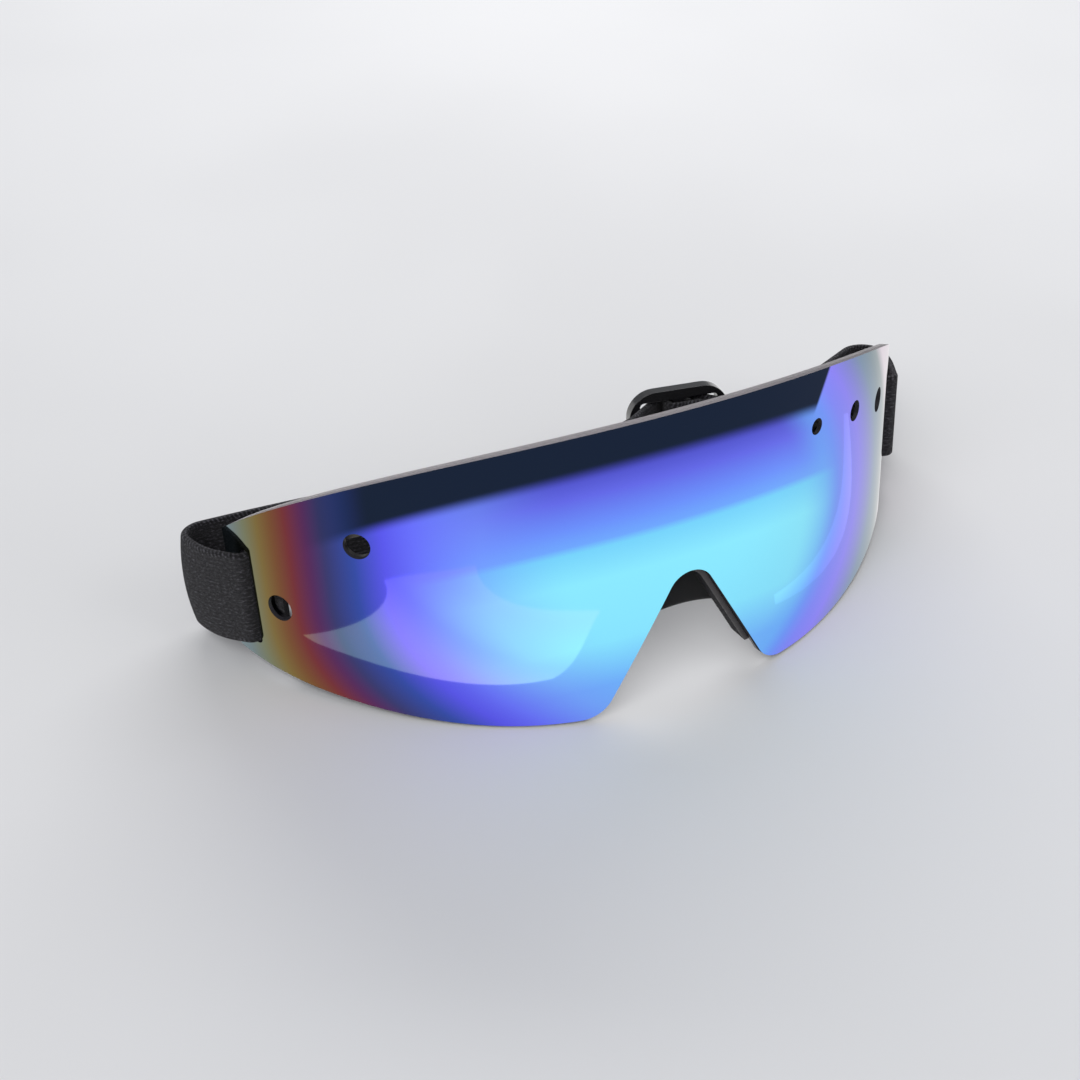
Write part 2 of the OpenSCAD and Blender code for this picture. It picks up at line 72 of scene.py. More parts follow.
camera_data = bpy.data.cameras.new("camera")
camera_data.lens = 51.64
camera_data.sensor_width = 36.0
camera_data.clip_start = 0.01
camera = add_object("camera", camera_data)
camera.location = (-0.1311, -0.20013, 0.22681)
camera.rotation_euler = [radians(turn) for turn in (48.0212, -3.1013, -26.5428)]
bpy.context.scene.camera = camera
print("Camera stands", round(camera.location.length * 1000), "mm from the origin")

# %% [markdown]
# The shield is a sheet bent round two radii: a wide one across the face and a tighter one at
# each temple. A point on it is easiest to name by its arc distance from the middle and by how
# deep it lies behind the outer face. plan_point turns that into a place seen from above, and
# stand leans the finished drawing back until it rests on the table as the real goggles do.

# %% The shield's shape
FRONT_R = 91.0
DROP_R = 46.4
END_R = FRONT_R - DROP_R
LENS_T = 1.8
TEMPLE = atan2(21, 20)
LENS_END = TEMPLE + radians(27)
END_CENTRE = (DROP_R * 21 / 29, FRONT_R - DROP_R * 20 / 29)
FRONT_ARC = FRONT_R * TEMPLE
S_END = FRONT_ARC + END_R * (LENS_END - TEMPLE)
BROW_R, BROW_TILT = 240.0, radians(21.3)


def arc_angle(s):
    """Plan angle at an arc distance from the middle of the outer face."""
    s = abs(s)
    return s / FRONT_R if s <= FRONT_ARC else TEMPLE + (s - FRONT_ARC) / END_R


def plan_point(angle, depth):
    """Plan place at an angle, a given depth behind the outer face."""
    side, angle = (-1 if angle < 0 else 1), abs(angle)
    if angle <= TEMPLE:
        x, y = (FRONT_R - depth) * sin(angle), FRONT_R - (FRONT_R - depth) * cos(angle)
    else:
        x = END_CENTRE[0] + (END_R - depth) * sin(angle)
        y = END_CENTRE[1] - (END_R - depth) * cos(angle)
    return side * x, y


LEAN = radians(13.139997)
STAND_UP, STAND_BACK, STAND_SIDE = 61.80136, -19.32758, -0.65


def stand(points):
    """Millimetres in the drawing to metres on the table."""
    p = np.asarray(points, dtype=float)
    out = np.empty_like(p)
    out[:, 0] = p[:, 0] + STAND_SIDE
    out[:, 1] = p[:, 1] * cos(LEAN) + p[:, 2] * sin(LEAN) + STAND_BACK
    out[:, 2] = -p[:, 1] * sin(LEAN) + p[:, 2] * cos(LEAN) + STAND_UP
    return out / 1000


def brow_z(y, inset=0.0):
    """Height of the brow edge, which droops towards the temples, or of a line inside it."""
    r = BROW_R - inset
    return (sqrt(r * r - (y + BROW_R * sin(BROW_TILT))**2)
            - BROW_R * cos(BROW_TILT))


print("The shield is", round(2 * S_END), "mm long along its curve")

# %% [markdown]
# The lower edge has three parts on each side: the round top of the nose notch, its straight
# flank, and the lobe, a long shallow arc joined to the flank by a small round corner. low_z
# gives the height of that edge at a distance from the middle. The corner's circle touches both
# the flank and the lobe, so its centre comes from the same construction that a draughtsman
# would use.

# %% The lower edge
NOTCH_TOP = -38.6
NOTCH_R = 5.0
FLANK = radians(29.5)
LOBE = (22.0, 73.0)
LOBE_R = 135.0
CORNER_R = 7.0
out_way = (cos(FLANK), sin(FLANK))
down_way = (sin(FLANK), -cos(FLANK))
q = (out_way[0] * (NOTCH_R + CORNER_R) - LOBE[0],
     NOTCH_TOP + out_way[1] * (NOTCH_R + CORNER_R) - LOBE[1])
q_down = q[0] * down_way[0] + q[1] * down_way[1]
run = -q_down + sqrt(q_down**2 - q[0]**2 - q[1]**2 + (LOBE_R - CORNER_R)**2)
CORNER = (LOBE[0] + q[0] + run * down_way[0], LOBE[1] + q[1] + run * down_way[1])
toward_lobe = atan2(CORNER[1] - LOBE[1], CORNER[0] - LOBE[0])
X_TOUCH = NOTCH_R * out_way[0]
X_FLANK = CORNER[0] - CORNER_R * out_way[0]
X_CORNER = CORNER[0] + CORNER_R * cos(toward_lobe)


def lobe_z(x, inset=0.0):
    return LOBE[1] - sqrt((LOBE_R - inset)**2 - (x - LOBE[0])**2)


def low_z(x):
    """Height of the lower edge at a distance from the middle."""
    x = abs(x)
    if x < X_TOUCH:
        return NOTCH_TOP + sqrt(NOTCH_R**2 - x * x)
    if x < X_FLANK:
        return NOTCH_TOP + NOTCH_R * out_way[1] - (x - X_TOUCH) / tan(FLANK)
    if x < X_CORNER:
        return CORNER[1] - sqrt(CORNER_R**2 - (x - CORNER[0])**2)
    return lobe_z(x)


print("Lobe corners at x =", round(X_FLANK, 1), "to", round(X_CORNER, 1))

# %% [markdown]
# A few helpers keep the later cells short. add_piece makes an object from points in
# millimetres. finish_piece gives it its materials, ties it to the body that carries it and
# hides the CAD nodes that it stands for. Two more round a piece's edges with a bevel and keep
# the result as its mesh.

# %% Helpers for pieces
def face_outwards(mesh):
    """Turns every face to look out of its solid."""
    bm = bmesh.new()
    bm.from_mesh(mesh)
    bmesh.ops.recalc_face_normals(bm, faces=bm.faces)
    bm.to_mesh(mesh)
    bm.free()


def new_mesh(name, points, faces):
    mesh = bpy.data.meshes.new(name)
    mesh.from_pydata(points, [], faces)
    return mesh


def add_piece(name, points, faces):
    mesh = new_mesh(name, stand(points).tolist(), faces)
    mesh.validate()
    face_outwards(mesh)
    mesh.shade_smooth()
    return add_object(name, mesh)


def finish_piece(piece, slot, nodes, body, *materials):
    for material in materials:
        piece.data.materials.append(material)
    if body:
        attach(piece, body)
    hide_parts(*nodes)
    print(piece.name, "has", len(piece.data.polygons), "faces")


def add_bevel(piece, name, width, segments, sharper_than):
    """Rounds every edge that is sharper than an angle in degrees."""
    bevel = piece.modifiers.new(name, "BEVEL")
    bevel.width, bevel.segments, bevel.limit_method = width, segments, "ANGLE"
    bevel.angle_limit = radians(sharper_than)
    return bevel


def bake_modifiers(piece):
    """Applies the modifiers by keeping the mesh that they make."""
    view = bpy.context.evaluated_depsgraph_get()
    made = bpy.data.meshes.new_from_object(piece.evaluated_get(view))
    piece.modifiers.clear()
    piece.data = made

# %% [markdown]
# The shield itself is a grid of small quads laid over the curved sheet, with columns set closer
# together where the lower edge turns a corner. Vents and slots are cut with Boolean modifiers,
# because a true hole shows the thickness of the plastic, which a painted dot can't. A small
# bevel then takes the sharpness off every cut edge, as polishing does on the real part.

# %% Cutters for the vents and slots
STRAP_W, STRAP_T, STRAP_Z, CLEAR = 20.0, 1.4, -37.3, 0.3
SLOT_R, SLOT_FROM_END = 1.2, 6.2
SLOT_ANGLE = LENS_END - SLOT_FROM_END / END_R
SLOT_REACH = STRAP_W / 2 + CLEAR - sqrt(SLOT_R**2 - (STRAP_T / 2)**2)
VENT_FIRST, VENT_PITCH, VENT_BELOW_BROW = 32.3, 15.4, 11.8
CUT_FROM, CUT_TO = -4.0, 6.0


def outline_cutter(name, outline, angle, z):
    """A prism through the sheet at a place on it. outline is in the sheet's own plane."""
    px, py = plan_point(angle, 0)
    along = (cos(angle), sin(angle))
    inward = (-sin(angle), cos(angle))
    points, n = [], len(outline)
    for depth in (CUT_FROM, CUT_TO):
        for u, w in outline:
            points.append((px + u * along[0] + depth * inward[0],
                           py + u * along[1] + depth * inward[1], z + w))
    faces = [tuple(range(n)), tuple(range(n, 2 * n))[::-1]]
    faces += [(i, n + i, n + (i + 1) % n, (i + 1) % n) for i in range(n)]
    return bpy.data.objects.new(name, new_mesh(name, points, faces))


def ring_points(r, count, first=0.0, last=2 * pi, centre=(0.0, 0.0)):
    """Points round an arc. A full turn doesn't repeat its first point."""
    steps = count if last - first > 6.28 else count - 1
    return [(centre[0] + r * cos(first + (last - first) * i / steps),
             centre[1] + r * sin(first + (last - first) * i / steps)) for i in range(count)]


def vent_height(s):
    return brow_z(plan_point(arc_angle(s), 0)[1]) - VENT_BELOW_BROW


slot_outline = (ring_points(SLOT_R, 13, 0, pi, (0, SLOT_REACH))
                + ring_points(SLOT_R, 13, pi, 2 * pi, (0, -SLOT_REACH)))
right_arcs = [VENT_FIRST + VENT_PITCH * i for i in range(3)]
# each vent is its arc distance from the middle, its height and its diameter
vents = [(s, vent_height(s), 3.4 + 0.95 * i) for i, s in enumerate(right_arcs)]
vents += [(-63.0, vent_height(63.0), 5.3), (-81.2, -37.5, 5.6)]
cutters = [outline_cutter("vent cutter", ring_points(d / 2, 56),
                          math.copysign(arc_angle(s), s), z) for s, z, d in vents]
cutters += [outline_cutter("slot cutter", slot_outline, side * SLOT_ANGLE, STRAP_Z)
            for side in (-1, 1)]
print("Vents at", [(round(s, 1), round(z, 1)) for s, z, d in vents])

# %% Faces of a closed grid
def closed_grid(columns, rows):
    """Faces for a grid of points in two layers, with walls round the rim."""
    def at(layer, c, r):
        return (layer * (columns + 1) + c) * (rows + 1) + r

    faces = []
    for c in range(columns):
        for r in range(rows):
            faces.append((at(0, c, r), at(0, c + 1, r), at(0, c + 1, r + 1), at(0, c, r + 1)))
            faces.append((at(1, c, r), at(1, c, r + 1), at(1, c + 1, r + 1), at(1, c + 1, r)))
        for r in (0, rows):
            faces.append((at(0, c, r), at(1, c, r), at(1, c + 1, r), at(0, c + 1, r)))
    return faces + [(at(0, c, r), at(0, c, r + 1), at(1, c, r + 1), at(1, c, r))
                    for c in (0, columns) for r in range(rows)]

# %% The sheet's grid
ROWS, EVEN_COLUMNS, LEAST_GAP = 26, 160, 0.02
marks = set(np.round(np.arange(-S_END, S_END + 0.01, 2 * S_END / EVEN_COLUMNS), 4))
for x in np.concatenate([np.arange(0, 5.6, 0.35), np.arange(X_FLANK - 0.2, X_CORNER + 0.8, 0.25),
                         (X_TOUCH, X_FLANK, X_CORNER)]):
    s = round(FRONT_R * asin(x / FRONT_R), 4)
    marks.update((s, -s))
columns = sorted(marks)
columns = [s for i, s in enumerate(columns) if i == 0 or s - columns[i - 1] > LEAST_GAP]
points = []
for depth in (0.0, LENS_T):
    for s in columns:
        angle = math.copysign(arc_angle(s), s)
        x, y = plan_point(angle, depth)
        x0, y0 = plan_point(angle, 0.0)
        low, high = low_z(x0), brow_z(y0)
        points += [(x, y, low + (high - low) * r / ROWS) for r in range(ROWS + 1)]
mesh = new_mesh("mirror_shield", points, closed_grid(len(columns) - 1, ROWS))
face_outwards(mesh)
shield = add_object("mirror_shield", mesh)
print("Sheet grid:", len(columns), "columns of", ROWS + 1, "points on each face")

# %% Cut and bevel the shield
for cutter in cutters:
    bpy.context.collection.objects.link(cutter)
    cut = shield.modifiers.new("cut", "BOOLEAN")
    cut.operation, cut.object, cut.solver = "DIFFERENCE", cutter, "EXACT"
add_bevel(shield, "polished edge", 0.22, 2, 50)
bake_modifiers(shield)
print("Shield after cutting:", len(shield.data.polygons), "faces")
for cutter in cutters:
    bpy.data.objects.remove(cutter)

# %% [markdown]
# A mirror shows every fault in its surface, so the shading normals of the two large faces are
# written from the geometry of the bend, not averaged from the quads. The same pass sorts the
# faces into three finishes: the coated front, the tinted back and the cut edge. It also lays
# down two coordinates that the coating's colours follow: the arc distance across the face and
# the distance below the brow edge.

# %% Exact normals and coating coordinates
ON_FACE = 0.02
SPAN_ACROSS, SPAN_DOWN = 190.0, 60.0
mesh = shield.data
raw = np.empty(len(mesh.vertices) * 3)
mesh.vertices.foreach_get("co", raw)
raw = raw.reshape(-1, 3)


def sheet_place(x, y):
    """Depth behind the outer face, plan angle and arc distance of a point."""
    side, x = (-1 if x < 0 else 1), abs(x)
    angle = atan2(x, FRONT_R - y)
    if angle <= TEMPLE:
        return FRONT_R - math.hypot(x, FRONT_R - y), side * angle, side * FRONT_R * angle
    dx, dy = x - END_CENTRE[0], END_CENTRE[1] - y
    angle = atan2(dx, dy)
    return END_R - math.hypot(dx, dy), side * angle, side * (FRONT_ARC + END_R * (angle - TEMPLE))


places = [sheet_place(x, y) for x, y, z in raw]
layer = ["front" if abs(d) < ON_FACE else "back" if abs(d - LENS_T) < ON_FACE else "edge"
         for d, a, s in places]
turn = 1000 * (stand(np.eye(3)) - stand(np.zeros((1, 3))))
normals = np.zeros((len(raw), 3))
FINISHES = ("front", "back", "edge")
for polygon in mesh.polygons:
    kinds = {layer[v] for v in polygon.vertices}
    kind = kinds.pop() if len(kinds) == 1 else "edge"
    polygon.material_index = FINISHES.index(kind)
    if kind == "edge":
        for v in polygon.vertices:
            normals[v] += np.array(polygon.normal)
for v, (d, a, s) in enumerate(places):
    if layer[v] == "front":
        normals[v] = (sin(a), -cos(a), 0)
    elif layer[v] == "back":
        normals[v] = (-sin(a), cos(a), 0)
normals = normals @ turn
normals /= np.linalg.norm(normals, axis=1)[:, None] + 1e-9
across = mesh.uv_layers.new(name="across")
for loop in mesh.loops:
    d, a, s = places[loop.vertex_index]
    below_brow = brow_z(plan_point(abs(a), 0)[1]) - raw[loop.vertex_index][2]
    across.data[loop.index].uv = (0.5 + s / SPAN_ACROSS, below_brow / SPAN_DOWN)
mesh.vertices.foreach_set("co", stand(raw).ravel())
mesh.shade_smooth()
mesh.normals_split_custom_set([normals[loop.vertex_index].tolist() for loop in mesh.loops])
mesh.update()
print("Shield:", len(mesh.polygons), "faces,", layer.count("edge"), "points on its edges")

# %% [markdown]
# Materials are built from nodes. These helpers start a material with its Principled shader, add
# a node with its settings and join it on, so each recipe below reads as a list of what it is
# made of. Colours are written as a screen shows them, which is how one picks them.

# %% Helpers for materials
def new_material(name, **settings):
    material = bpy.data.materials.new(name)
    material.use_nodes = True
    shader = material.node_tree.nodes["Principled BSDF"]
    for socket, value in settings.items():
        shader.inputs[socket.replace("_", " ")].default_value = value
    return material, shader


def add_node(beside, kind, inputs=None, **settings):
    """Adds a node to the material that another node or socket belongs to."""
    tree = beside.id_data
    node = tree.nodes.new("ShaderNode" + kind)
    for key, value in settings.items():
        setattr(node, key, value)
    for key, value in (inputs or {}).items():
        if isinstance(value, bpy.types.NodeSocket):
            tree.links.new(value, node.inputs[key])
        else:
            node.inputs[key].default_value = value
    return node


def paint(shader, shade, socket="Base Color"):
    shader.id_data.links.new(shade, shader.inputs[socket])


def emboss(shader, height, strength, distance):
    bump = add_node(shader, "Bump", {"Height": height, "Strength": strength,
                                     "Distance": distance})
    paint(shader, bump.outputs["Normal"], "Normal")


def colour(r, g, b):
    """A colour as a screen shows it, 0 to 255, to the linear light that the shader wants."""
    return tuple((v / 255 / 12.92) if v < 11 else ((v / 255 + 0.055) / 1.055)**2.4
                 for v in (r, g, b)) + (1.0,)


def ramp(fac, stops, mode="EASE"):
    node = add_node(fac, "ValToRGB", {"Fac": fac})
    band = node.color_ramp
    band.interpolation = mode
    while len(band.elements) < len(stops):
        band.elements.new(0.5)
    for element, (place, value) in zip(band.elements, sorted(stops)):
        element.position, element.color = place, value
    return node.outputs["Color"]


def fade(fac, none_at, full_at):
    """Runs softly from nothing at one value to full at another."""
    return ramp(fac, [(none_at, (0, 0, 0, 1)), (full_at, (1, 1, 1, 1))])


def noise(beside, scale, detail, **more):
    return add_node(beside, "TexNoise", {"Scale": scale, "Detail": detail, **more}).outputs["Fac"]


def drift(beside, scale, detail, low, high):
    """A colour that wanders between two tones, as no real surface is quite even."""
    return ramp(noise(beside, scale, detail), [(0.3, low), (0.7, high)])


def maths(kind, a, b=0.0, clamp=False):
    return add_node(a, "Math", {0: a, 1: b}, operation=kind, use_clamp=clamp).outputs[0]


def times(a, b):
    return maths("MULTIPLY", a, b)


def blend(fac, a, b):
    return add_node(fac, "Mix", {0: fac, 6: a, 7: b}, data_type="RGBA").outputs[2]


def surface_axes(beside, uv_map):
    """The two coordinates that a piece carries for its finish."""
    place = add_node(beside, "UVMap", uv_map=uv_map)
    axes = add_node(beside, "SeparateXYZ", {"Vector": place.outputs["UV"]})
    return axes.outputs["X"], axes.outputs["Y"]

# %% [markdown]
# The front carries a mirror coating of a few very thin layers. Its colour depends on how thick
# the layers are, so it drifts from straw and red at one temple through violet to a pale cyan
# over the nose and a pearly grey at the other temple. Towards the end of that temple it turns
# almost white, a painted reflection of the pale sheen that a mirror takes on where one looks
# along it. Three colour ramps give that drift without any image texture: one down the middle of
# the shield and one for each temple. The temple colours follow curved lines, so the distance
# along the arc is bent by the distance below the brow before it reaches their ramps.

# %% Mirror coating
coating, shader = new_material("mirror_coating", Metallic=1.0, Roughness=0.05, Coat_Weight=0.08,
                               Coat_Roughness=0.02)
across_arc, drop = surface_axes(shader, "across")


def at_arc(s):
    return 0.5 + s / SPAN_ACROSS


def at_drop(down):
    return down / SPAN_DOWN


def bent(kind, down, scale):
    """Arc distance, moved aside by the square of a distance down the shield."""
    return maths(kind, across_arc, times(maths("POWER", down, 2.0), scale))


def side_ramp(fac, *rows):
    return ramp(fac, [(at_arc(s), colour(*rgb)) for s, *rgb in rows], "LINEAR")


below = maths("MAXIMUM", maths("SUBTRACT", drop, at_drop(22)), 0.0)
off_middle = maths("ABSOLUTE", maths("SUBTRACT", drop, at_drop(28)))
left_arc = bent("SUBTRACT", below, 9 / SPAN_ACROSS / 0.4**2)
right_arc = bent("ADD", off_middle, 10 / SPAN_ACROSS / at_drop(22)**2)
middle = ramp(drop, [(at_drop(down), colour(*rgb)) for down, *rgb in (
    (7.5, 76, 78, 196), (12, 98, 104, 230), (18, 106, 143, 250), (21.6, 110, 166, 252),
    (23.2, 118, 210, 250), (30, 138, 232, 254), (44, 134, 226, 254), (54, 112, 180, 254))],
    "LINEAR")
left_side = side_ramp(
    left_arc, (-92, 109, 128, 134), (-87.5, 121, 125, 96), (-84, 130, 110, 59),
    (-80.5, 126, 82, 50), (-77, 124, 52, 58), (-73, 92, 46, 96), (-69.5, 60, 62, 116),
    (-64, 54, 78, 168), (-58, 90, 88, 238), (-52, 104, 112, 252), (-40, 118, 148, 254))
# The last stop on the right, near white, is a painted reflection of the mirror seen along itself.
right_side = side_ramp(
    right_arc, (36, 104, 172, 254), (41, 108, 150, 254), (46, 126, 134, 254),
    (52, 138, 128, 254), (58, 126, 130, 218), (64, 108, 138, 170), (70, 104, 132, 146),
    (74, 120, 140, 146), (79, 232, 214, 228))
to_middle = fade(left_arc, at_arc(-56), at_arc(-24))
to_right = fade(right_arc, at_arc(28), at_arc(43))
body_colour = blend(to_right, blend(to_middle, left_side, middle), right_side)
print("Colour stops on the two sides:",
      [len(side.node.color_ramp.elements) for side in (left_side, right_side)])

# %% [markdown]
# A dark band lies under the brow: a painted reflection, which darkens the coating's colour to a
# dark navy and greys its specular tint. Its lower edge is a slight arch, so the band is narrowest
# near the middle. It fades out at the left temple and stops along a steep slant on the right. A
# mirror turns pale where one looks along it, and that is toned down in the band, or its far
# end would wash out.

# %% The dark band, a painted reflection
off_centre = maths("SUBTRACT", across_arc, at_arc(-3))
arch = times(times(off_centre, off_centre), at_drop(0.9) * (SPAN_ACROSS / 45)**2)
painted_reflection_drop = maths("SUBTRACT", maths("ADD", drop, at_drop(0.7)), arch)
slant = maths("ADD", across_arc, times(drop, SPAN_DOWN * 0.55 / SPAN_ACROSS))
band = times(times(fade(painted_reflection_drop, at_drop(9.6), at_drop(6.6)),
                   fade(across_arc, at_arc(-76), at_arc(-60))),
             fade(slant, at_arc(36.4), at_arc(35.8)))
# The band's painted reflection: a dark navy colour and a greyer specular tint on the coating.
paint(shader, blend(band, body_colour, colour(21, 33, 54)))
paint(shader, blend(band, (1, 1, 1, 1), (0.55, 0.56, 0.6, 1)), "Specular Tint")

# %% [markdown]
# The back of the sheet has no coating. It is clear plastic with a smoke tint, and because the
# mirror in front lets little light through, it reads as a dark gloss. The cut edge along the
# brow is painted pale: a painted highlight for the light that travels inside the sheet and
# leaves there, which gives the thin grey line along the brow in the photograph. The cut edges
# further down, the vent walls among them, are painted darker: painted shade, where less light
# gets out.

# %% Tinted back, and the cut edge with its painted highlight and painted shade
tint, shader = new_material("tinted_back", Roughness=0.1, Coat_Weight=0.4)
paint(shader, drift(shader, 60.0, 3.0, colour(17, 18, 24), colour(21, 23, 31)))

edge, shader = new_material("cut_edge", Roughness=0.4, Specular_IOR_Level=0.25)
# The pale tone is a painted highlight on the brow edge, the dark one painted shade lower down.
rim = drift(shader, 900.0, 2.0, colour(178, 172, 176), colour(206, 200, 204))
painted_wall_shade = fade(surface_axes(shader, "across")[1], 0.02, 0.03)
paint(shader, blend(painted_wall_shade, rim, colour(52, 50, 56)))
finish_piece(shield, "shield", ["lens"], "goggle_front", coating, tint, edge)

# %% [markdown]
# Five foam strips sit behind the shield, round the face opening. Each is a sandwich: tape, foam
# and a thin knit skin. They all follow the sheet, so one maker serves them all: it takes a rule
# that gives a place for a step along the strip, a step across it and a depth, fills a closed
# grid with it, and rounds the long edges with a bevel.

# %% A maker for strips
def strip_piece(name, place, steps, across, depths, rounding):
    points = [place(i / steps, j / across, depth)
              for depth in depths for i in range(steps + 1) for j in range(across + 1)]
    piece = add_piece(name, points, closed_grid(steps, across))
    add_bevel(piece, "rounding", rounding / 1000, 3, 50)
    bake_modifiers(piece)
    piece.data.set_sharp_from_angle(angle=radians(55))
    return piece


HEM_L = 6.0
STRAP_DEPTH = LENS_T + CLEAR + STRAP_T / 2
PAD_END = SLOT_ANGLE - HEM_L / (END_R - STRAP_DEPTH) - 1.2 / END_R
CHEEK_FROM_X, NOSE_DOWN_TO_Z = 26.0, -56.0


def on_sheet(x, depth):
    """How far back the sheet lies at a distance from the middle, across the face."""
    return FRONT_R - sqrt((FRONT_R - depth)**2 - x * x)


def brow_place(t, w, depth):
    x, y = plan_point(PAD_END * (2 * t - 1), depth)
    return x, y, brow_z(y, 4.0 + 4.8 * w)


def cheek_place(side):
    def place(t, w, depth):
        first = asin(CHEEK_FROM_X / (FRONT_R - depth))
        x, y = plan_point(first + (PAD_END - first) * t, depth)
        return side * x, y, lobe_z(x, 2.0 + 7.0 * w)
    return place


def nose_place(side):
    def place(t, w, depth):
        r = NOTCH_R - 1.2 + 6.0 * w
        flank_from = NOTCH_TOP + r * out_way[1]
        flank_run = (flank_from - NOSE_DOWN_TO_Z) / out_way[0]
        turn_run = r * (pi / 2 - FLANK)
        go = t * (flank_run + turn_run)
        if go < turn_run:
            angle = pi / 2 - go / r
            x, z = r * cos(angle), NOTCH_TOP + r * sin(angle)
        else:
            x = r * out_way[0] + (go - turn_run) * down_way[0]
            z = flank_from + (go - turn_run) * down_way[1]
        return side * x, on_sheet(x, depth), z
    return place

# %% [markdown]
# Closed cell foam shows its cut cells as fine pits, a little lighter at their rims. The knit
# skin is darker and softer, with a faint sheen where its fibres catch the light from the side.

# %% Foam, knit and tape
foam, shader = new_material("closed_cell_foam", Roughness=0.92, Specular_IOR_Level=0.2)
cells = add_node(shader, "TexVoronoi", {"Scale": 2200.0}).outputs["Distance"]
mix = times(cells, noise(shader, 120.0, 4.0))
paint(shader, ramp(mix, [(0.02, colour(22, 21, 24)), (0.45, colour(46, 44, 49))]))
emboss(shader, cells, 0.5, 0.0002)

knit, shader = new_material("knit_skin", Roughness=0.95, Sheen_Weight=0.15, Sheen_Roughness=0.5,
                            Specular_IOR_Level=0.2)
loops = add_node(shader, "TexVoronoi", {"Scale": 1500.0, "Randomness": 0.55})
both = maths("ADD", loops.outputs["Distance"], noise(shader, 2600.0, 5.0, Roughness=0.7))
paint(shader, ramp(both, [(0.35, colour(31, 30, 34)), (1.0, colour(15, 15, 17))]))
emboss(shader, both, 0.45, 0.00025)

# The tape is painted charcoal, not its own pale grey: painted shade where it shows past the notch.
tape, shader = new_material("thin_tape", Roughness=0.5)
paint(shader, drift(shader, 400.0, 2.0, colour(56, 53, 55), colour(70, 66, 68)))

# %% Pads round the face
strips = [("brow", brow_place, 90, 5)]
for side, word in ((-1, "left"), (1, "right")):
    strips += [(word + "_cheek", cheek_place(side), 36, 7),
               (word + "_nose", nose_place(side), 30, 6)]
TAPE_IN, FOAM_IN, KNIT_IN = LENS_T + 0.3, LENS_T + 4.3, LENS_T + 4.9
layers = (("tape", "_tape", "_tape_film", tape, (LENS_T, TAPE_IN), 0.05),
          ("foam", "_pad", "_foam_strip", foam, (TAPE_IN, FOAM_IN), 0.12),
          ("facing", "_facing", "_knit_skin", knit, (FOAM_IN, KNIT_IN), 0.28))
for word, place, steps, across_steps in strips:
    for slot, node, ending, material, depths, rounding in layers:
        strip = strip_piece(word + ending, place, steps, across_steps, depths, rounding)
        finish_piece(strip, slot, [word + node], "goggle_front", material)

# %% Bridge pad
BRIDGE_W, BRIDGE_TALL, BRIDGE_TOP = 28.0, 17.0, -28.6
BRIDGE_ARCH_R, BRIDGE_BULGE = 28.0, 0.35
BRIDGE_DEPTHS = (KNIT_IN, KNIT_IN + 3.0)


def bridge_place(t, w, depth):
    """A soft bar behind the notch, arched below, its ends and its back a little rounded."""
    x = BRIDGE_W * (t - 0.5)
    if depth > BRIDGE_DEPTHS[0]:
        bulge = cos(pi * (w - 0.5)) * cos(pi * (t - 0.5))
        depth += BRIDGE_BULGE * (bulge - 1)
    tall = BRIDGE_TALL + BRIDGE_ARCH_R - sqrt(BRIDGE_ARCH_R**2 - x * x)
    return x, on_sheet(x, depth), BRIDGE_TOP - tall * w


bridge = strip_piece("bridge_cushion", bridge_place, 28, 17, BRIDGE_DEPTHS, 0.9)
finish_piece(bridge, "facing", ["bridge_pad"], "goggle_front", knit)

# %% [markdown]
# The strap is one long band of woven elastic, 20 mm wide. It is made in stretches; those held by
# the shield and those in the slider are tied to the body that carries them. They all come from
# one maker that carries a cross section with round selvedges along a route seen from above. Two
# coordinates in millimetres go with it, along the band and round it, and the weave is built on
# them. At its two folds the band is crowned: its middle stands out a little further than its
# selvedges.

# %% A maker for strap stretches
CROWN, CROWN_REACH, CROWN_FREE_OF_SLOT = 2.0, 5.5, 5.0


def soft_corners(route, reach):
    """Rounds the corners of a route, each over a given reach before and after it."""
    route = [np.array(p, dtype=float) for p in route]
    out = [route[0]]
    for a, b, c in zip(route, route[1:], route[2:]):
        before = b + (a - b) * min(reach / np.linalg.norm(a - b), 0.49)
        after = b + (c - b) * min(reach / np.linalg.norm(c - b), 0.49)
        out += [before * (1 - t)**2 + 2 * b * t * (1 - t) + after * t * t
                for t in np.linspace(0, 1, 7)]
    return out + [route[-1]]


def even_steps(route, step):
    route = np.array(route)
    lengths = np.concatenate([[0], np.cumsum(np.linalg.norm(np.diff(route, axis=0), axis=1))])
    count = max(2, int(round(lengths[-1] / step)))
    marks = np.linspace(0, lengths[-1], count + 1)
    return np.stack([np.interp(marks, lengths, route[:, k]) for k in (0, 1)], axis=1), marks


def band_section():
    """Places round the band: how far off its middle line, and how high."""
    r, half, thick = 0.55, STRAP_W / 2, STRAP_T / 2
    corner = [(sin(a), cos(a)) for a in np.linspace(0, pi / 2, 5)]
    out = [(thick, z) for z in np.linspace(-half + 1.0, half - 1.0, 14)]
    out += [(thick - r + r * c, half - r + r * s) for s, c in corner]
    out += [(-thick + r - r * s, half - r + r * c) for s, c in corner]
    return out + [(-off, -z) for off, z in out]


def band_girth():
    """How far round the band each place of its section is, and the full girth at the end."""
    section = band_section()
    steps = [math.dist(a, b) for a, b in zip(section, section[1:] + section[:1])]
    return [0.0] + np.cumsum(steps).tolist()


def crowned(side, x, y, z, height):
    """Bulges the middle of the band outwards where it turns the fold at that side."""
    away = np.array([x, y]) - fold_centre[side]
    far = np.linalg.norm(away)
    free = min(math.dist((x, y), held_at[side]) / CROWN_FREE_OF_SLOT, 1)**2
    out = height * free * math.exp(-(far / CROWN_REACH)**2) * (1 - (2 * z / STRAP_W)**2)
    x, y = (x, y) + away / far * out
    return side * x, y, STRAP_Z + z


